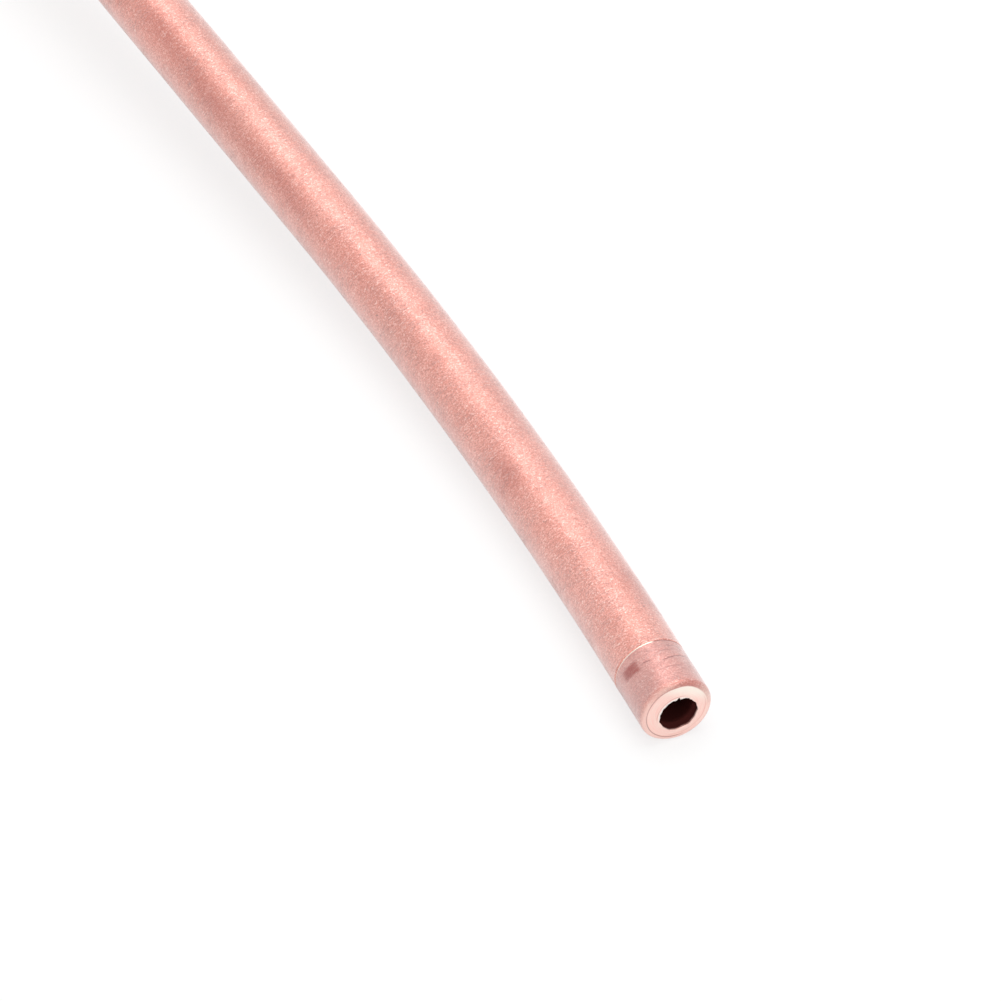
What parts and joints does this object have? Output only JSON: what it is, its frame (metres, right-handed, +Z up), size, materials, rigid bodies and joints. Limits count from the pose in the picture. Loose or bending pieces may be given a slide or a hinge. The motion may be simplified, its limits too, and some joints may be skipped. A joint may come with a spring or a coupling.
{
  "type": "copper tube coil",
  "caption": "Flat coil of soft copper tube with an open eye, its outer end bent out of the coil and laid down with a cut, slightly rolled rim.",
  "frame": {"origin": "on the coil's axis, in the plane that the flat turns lie on", "axes": "+Z up along the coil's axis, away from the floor; the inner end starts at -X; the free end lies out towards -X and -Y"},
  "size_m": [0.1639, 0.2529, 0.0191],
  "materials": {
    "copper": "satin"
  },
  "bodies": {
    "root": {"tube": "copper"}
  },
  "joints": []
}
